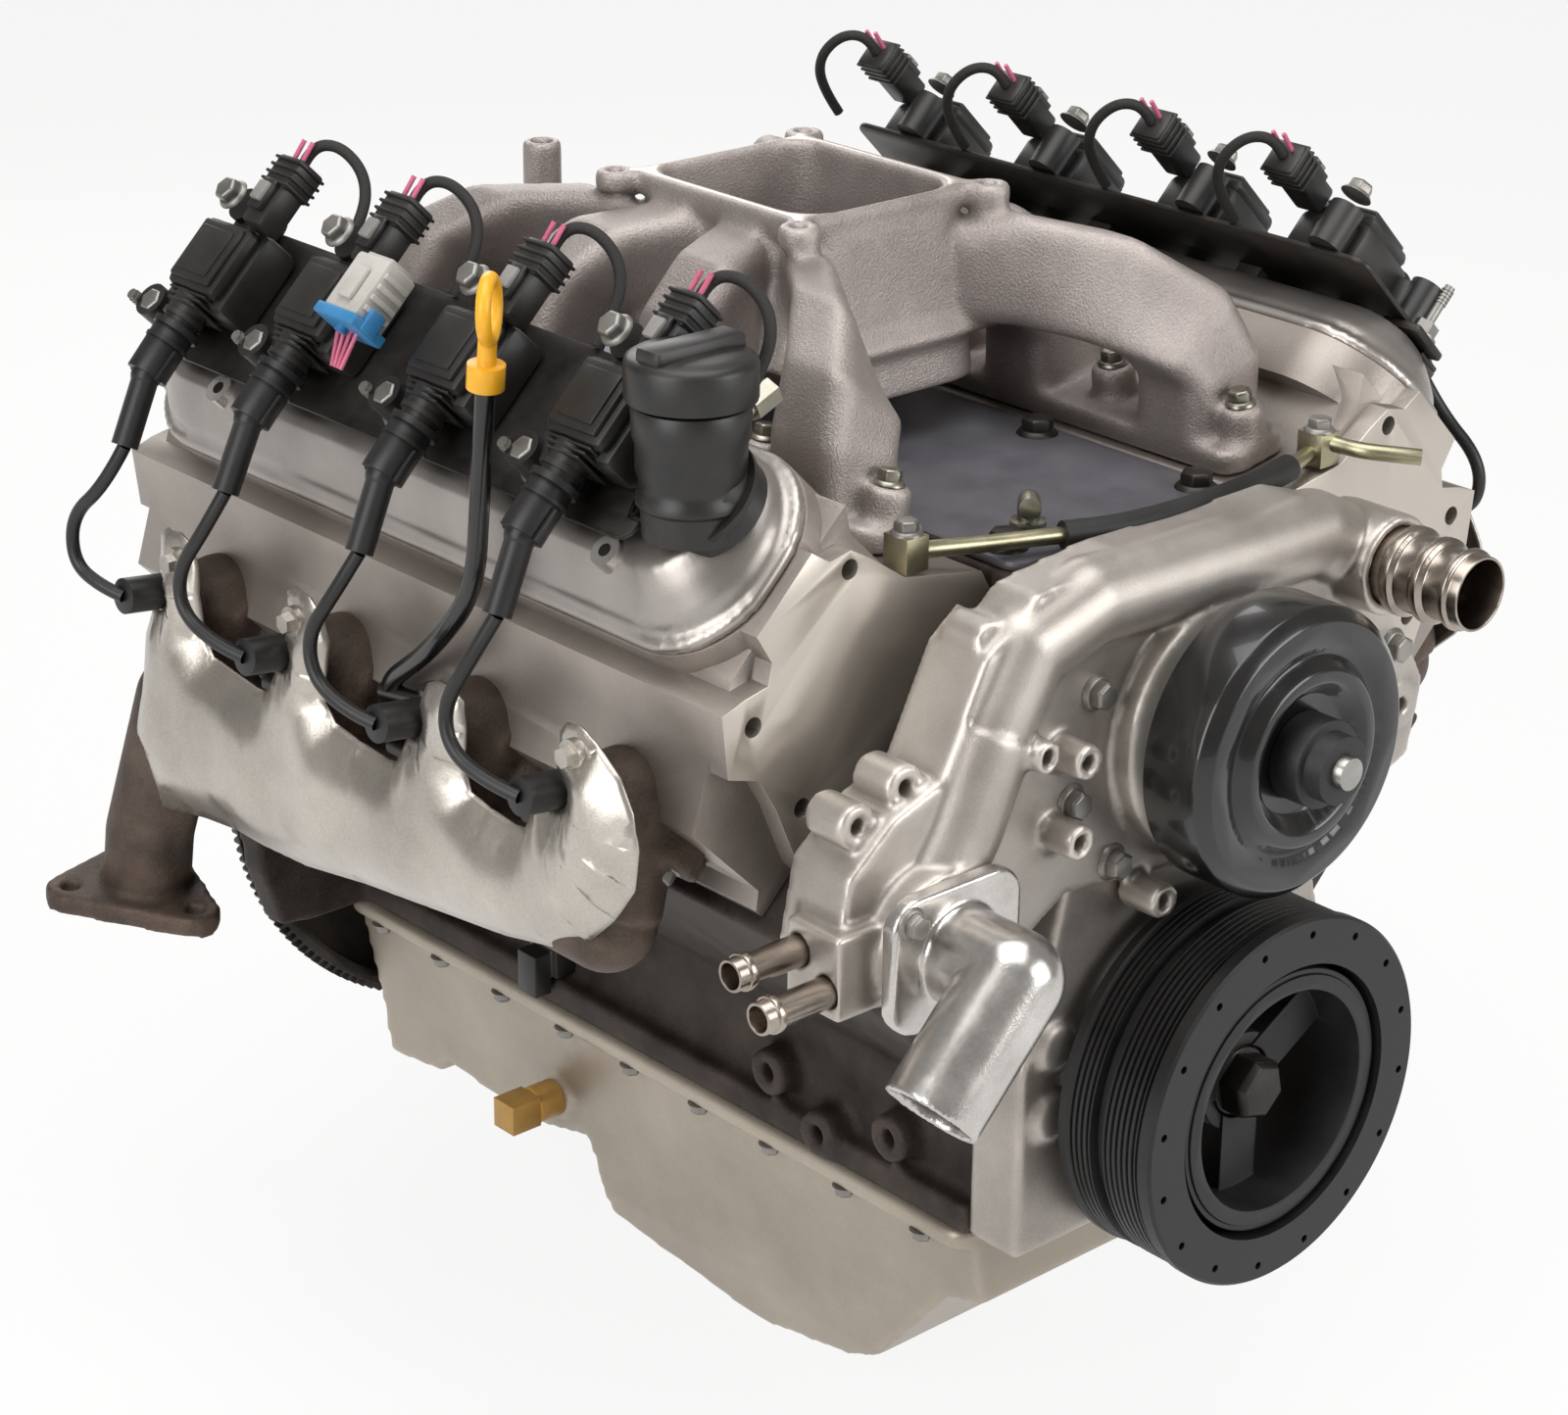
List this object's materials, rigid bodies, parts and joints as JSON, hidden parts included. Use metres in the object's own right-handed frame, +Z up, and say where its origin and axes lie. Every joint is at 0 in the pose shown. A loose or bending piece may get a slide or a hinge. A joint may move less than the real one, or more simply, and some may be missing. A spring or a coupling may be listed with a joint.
{
  "type": "pushrod v8 engine",
  "caption": "Complete ninety-degree pushrod V engine with open carburettor intake, coil packs, water pump, damper, exhaust manifolds and oil pan.",
  "frame": {"origin": "crankshaft axis at the block's rear face", "axes": "+Y towards the rear (transmission), +Z up, -X is the engine's right-hand bank"},
  "size_m": [0.664, 0.682, 0.6515],
  "materials": {
    "cast_iron_block": "rough cast",
    "machined_steel": "machined",
    "dark_steel": "dark",
    "cast_aluminium": "cast",
    "black_paint": "matte",
    "black_rubber": "matte",
    "gasket_sheet": "matte",
    "satin_aluminium": "satin",
    "sand_cast_aluminium": "sand cast",
    "zinc_steel": "zinc plated",
    "grey_coated_steel": "satin",
    "stainless_steel": "satin",
    "polished_aluminium": "polished",
    "gloss_black_paint": "gloss",
    "beige_cast_aluminium": "cast",
    "amber_plastic": "satin",
    "black_plastic": "satin",
    "brown_cast_iron": "rough cast",
    "aluminised_steel": "satin",
    "yellow_plastic": "gloss"
  },
  "bodies": {
    "engine": {"engine_block": "cast_iron_block", "main_bearing_caps": "cast_iron_block", "timing_chain": "dark_steel", "front_cover": "cast_aluminium", "rear_seal_cover": "cast_aluminium", "pistons": "cast_aluminium", "cylinder_head_right": "cast_aluminium", "cylinder_head_left": "cast_aluminium", "head_gaskets": "gasket_sheet", "valve_cover_right": "satin_aluminium", "valve_cover_left": "satin_aluminium", "valve_cover_bolts": "dark_steel", "intake_manifold": "sand_cast_aluminium", "intake_bolts": "zinc_steel", "valley_cover": "grey_coated_steel", "valley_cover_bolts": "dark_steel", "valley_nipple": "zinc_steel", "coolant_vent_pipes": "zinc_steel", "vent_bolts": "zinc_steel", "coolant_vent_hose": "black_rubber", "water_pump_housing": "cast_aluminium", "heater_pipes": "stainless_steel", "water_outlet_pipe": "stainless_steel", "thermostat_elbow": "polished_aluminium", "water_pump_bolts": "zinc_steel", "oil_pan": "beige_cast_aluminium", "oil_pan_bolts": "dark_steel", "oil_level_sensor": "amber_plastic", "crank_position_sensor": "black_plastic", "exhaust_manifold_right": "brown_cast_iron", "exhaust_manifold_left": "brown_cast_iron", "heat_shield_right": "aluminised_steel", "heat_shield_left": "aluminised_steel", "exhaust_bolts": "dark_steel", "spark_plugs": "zinc_steel", "plug_boots": "black_rubber", "coil_bracket_right": "dark_steel", "coil_bracket_left": "dark_steel", "ignition_coils_right": "black_plastic", "ignition_coils_left": "black_plastic", "coil_bolts": "zinc_steel", "plug_wires": "black_rubber", "coil_leads": "black_rubber", "oil_fill_neck": "black_plastic", "dipstick_tube": "gloss_black_paint"},
    "crank": {"crankshaft": "machined_steel", "crank_sprocket": "machined_steel", "damper_hub": "black_paint", "damper_rubber": "black_rubber", "damper_ring": "black_paint", "crank_bolt": "dark_steel", "flexplate": "dark_steel", "flexplate_bolts": "dark_steel"},
    "cam": {"camshaft": "machined_steel", "cam_sprocket": "machined_steel"},
    "water_pump": {"water_pump_shaft": "machined_steel", "water_pump_pulley": "gloss_black_paint", "fan_hub": "dark_steel"},
    "oil_cap": {"oil_fill_cap": "black_plastic"},
    "dipstick": {"dipstick": "yellow_plastic"}
  },
  "joints": [
    {"name": "crank_turn", "type": "hinge", "parent": "engine", "child": "crank", "pos_m": [0, -0.3, 0], "axis": [0, -1, 0], "continuous": true},
    {"name": "cam_turn", "type": "hinge", "parent": "engine", "child": "cam", "pos_m": [0, -0.3, 0.1248], "axis": [0, -1, 0], "continuous": true},
    {"name": "water_pump_turn", "type": "hinge", "parent": "engine", "child": "water_pump", "pos_m": [0, -0.6, 0.1845], "axis": [0, -1, 0], "continuous": true},
    {"name": "oil_cap_turn", "type": "hinge", "parent": "engine", "child": "oil_cap", "pos_m": [-0.235, -0.462, 0.375], "axis": [0, 0, 1], "range_deg": [0, 90]},
    {"name": "dipstick_pull", "type": "slide", "parent": "engine", "child": "dipstick", "axis": [0, -0.114, 0.9935], "range_m": [0, 0.15]}
  ],
  "couplings": [
    {"joint": "cam_turn", "follows": "crank_turn", "ratio": 0.5}
  ]
}
